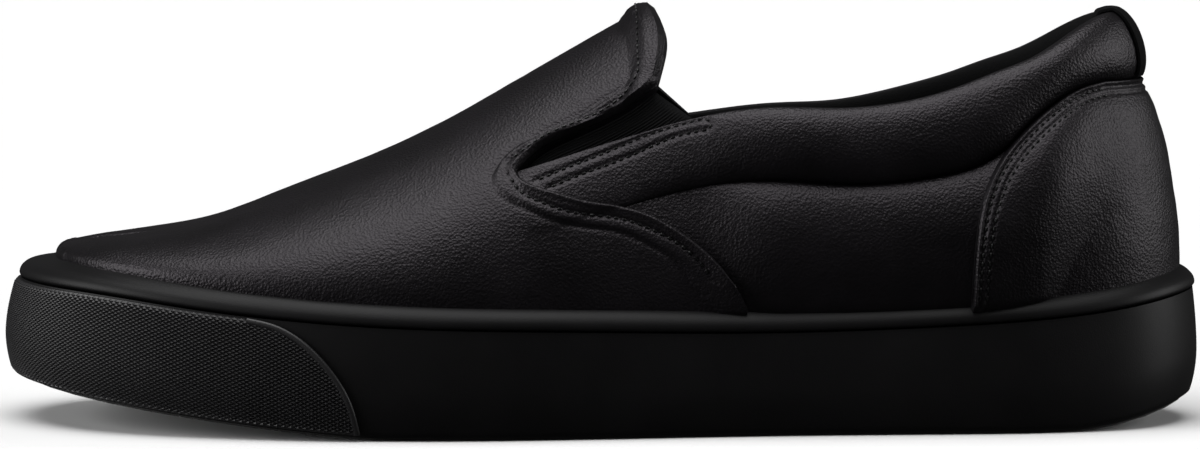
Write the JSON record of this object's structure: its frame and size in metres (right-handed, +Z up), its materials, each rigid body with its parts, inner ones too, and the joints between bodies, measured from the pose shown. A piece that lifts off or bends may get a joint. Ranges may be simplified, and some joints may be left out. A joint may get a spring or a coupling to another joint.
{
  "type": "slip-on sneaker",
  "caption": "Left slip-on sneaker: hollow leather upper with padded collar, elastic gores, wing-shaped vamp and heel counter on a rubber cup sole with a knurled toe bumper.",
  "frame": {"origin": "on the floor, under the middle of the sole's length and width", "axes": "+Z up; +X towards the heel along the foot; -Y is the outer side of the left foot"},
  "size_m": [0.27, 0.1016, 0.0939],
  "materials": {
    "leather": "fine pebbled grain, soft satin",
    "vamp_leather": "fine pebbled grain, soft satin",
    "counter_leather": "fine pebbled grain, soft satin",
    "elastic": "matte ribbed knit",
    "webbing": "matte woven tape",
    "lining": "matte brushed textile",
    "midsole_rubber": "matte foam",
    "tread_rubber": "matte",
    "foxing_rubber": "smooth matte",
    "strip_rubber": "smooth soft satin",
    "bumper_rubber": "knurled matte"
  },
  "bodies": {
    "root": {"upper": "leather", "vamp": "vamp_leather", "heel_counter": "counter_leather", "gore_lateral": "elastic", "gore_medial": "elastic", "back_strip": "webbing", "insole": "lining", "midsole": "midsole_rubber", "outsole": "tread_rubber", "foxing": "foxing_rubber", "foxing_strip": "strip_rubber", "toe_bumper": "bumper_rubber"}
  },
  "joints": []
}
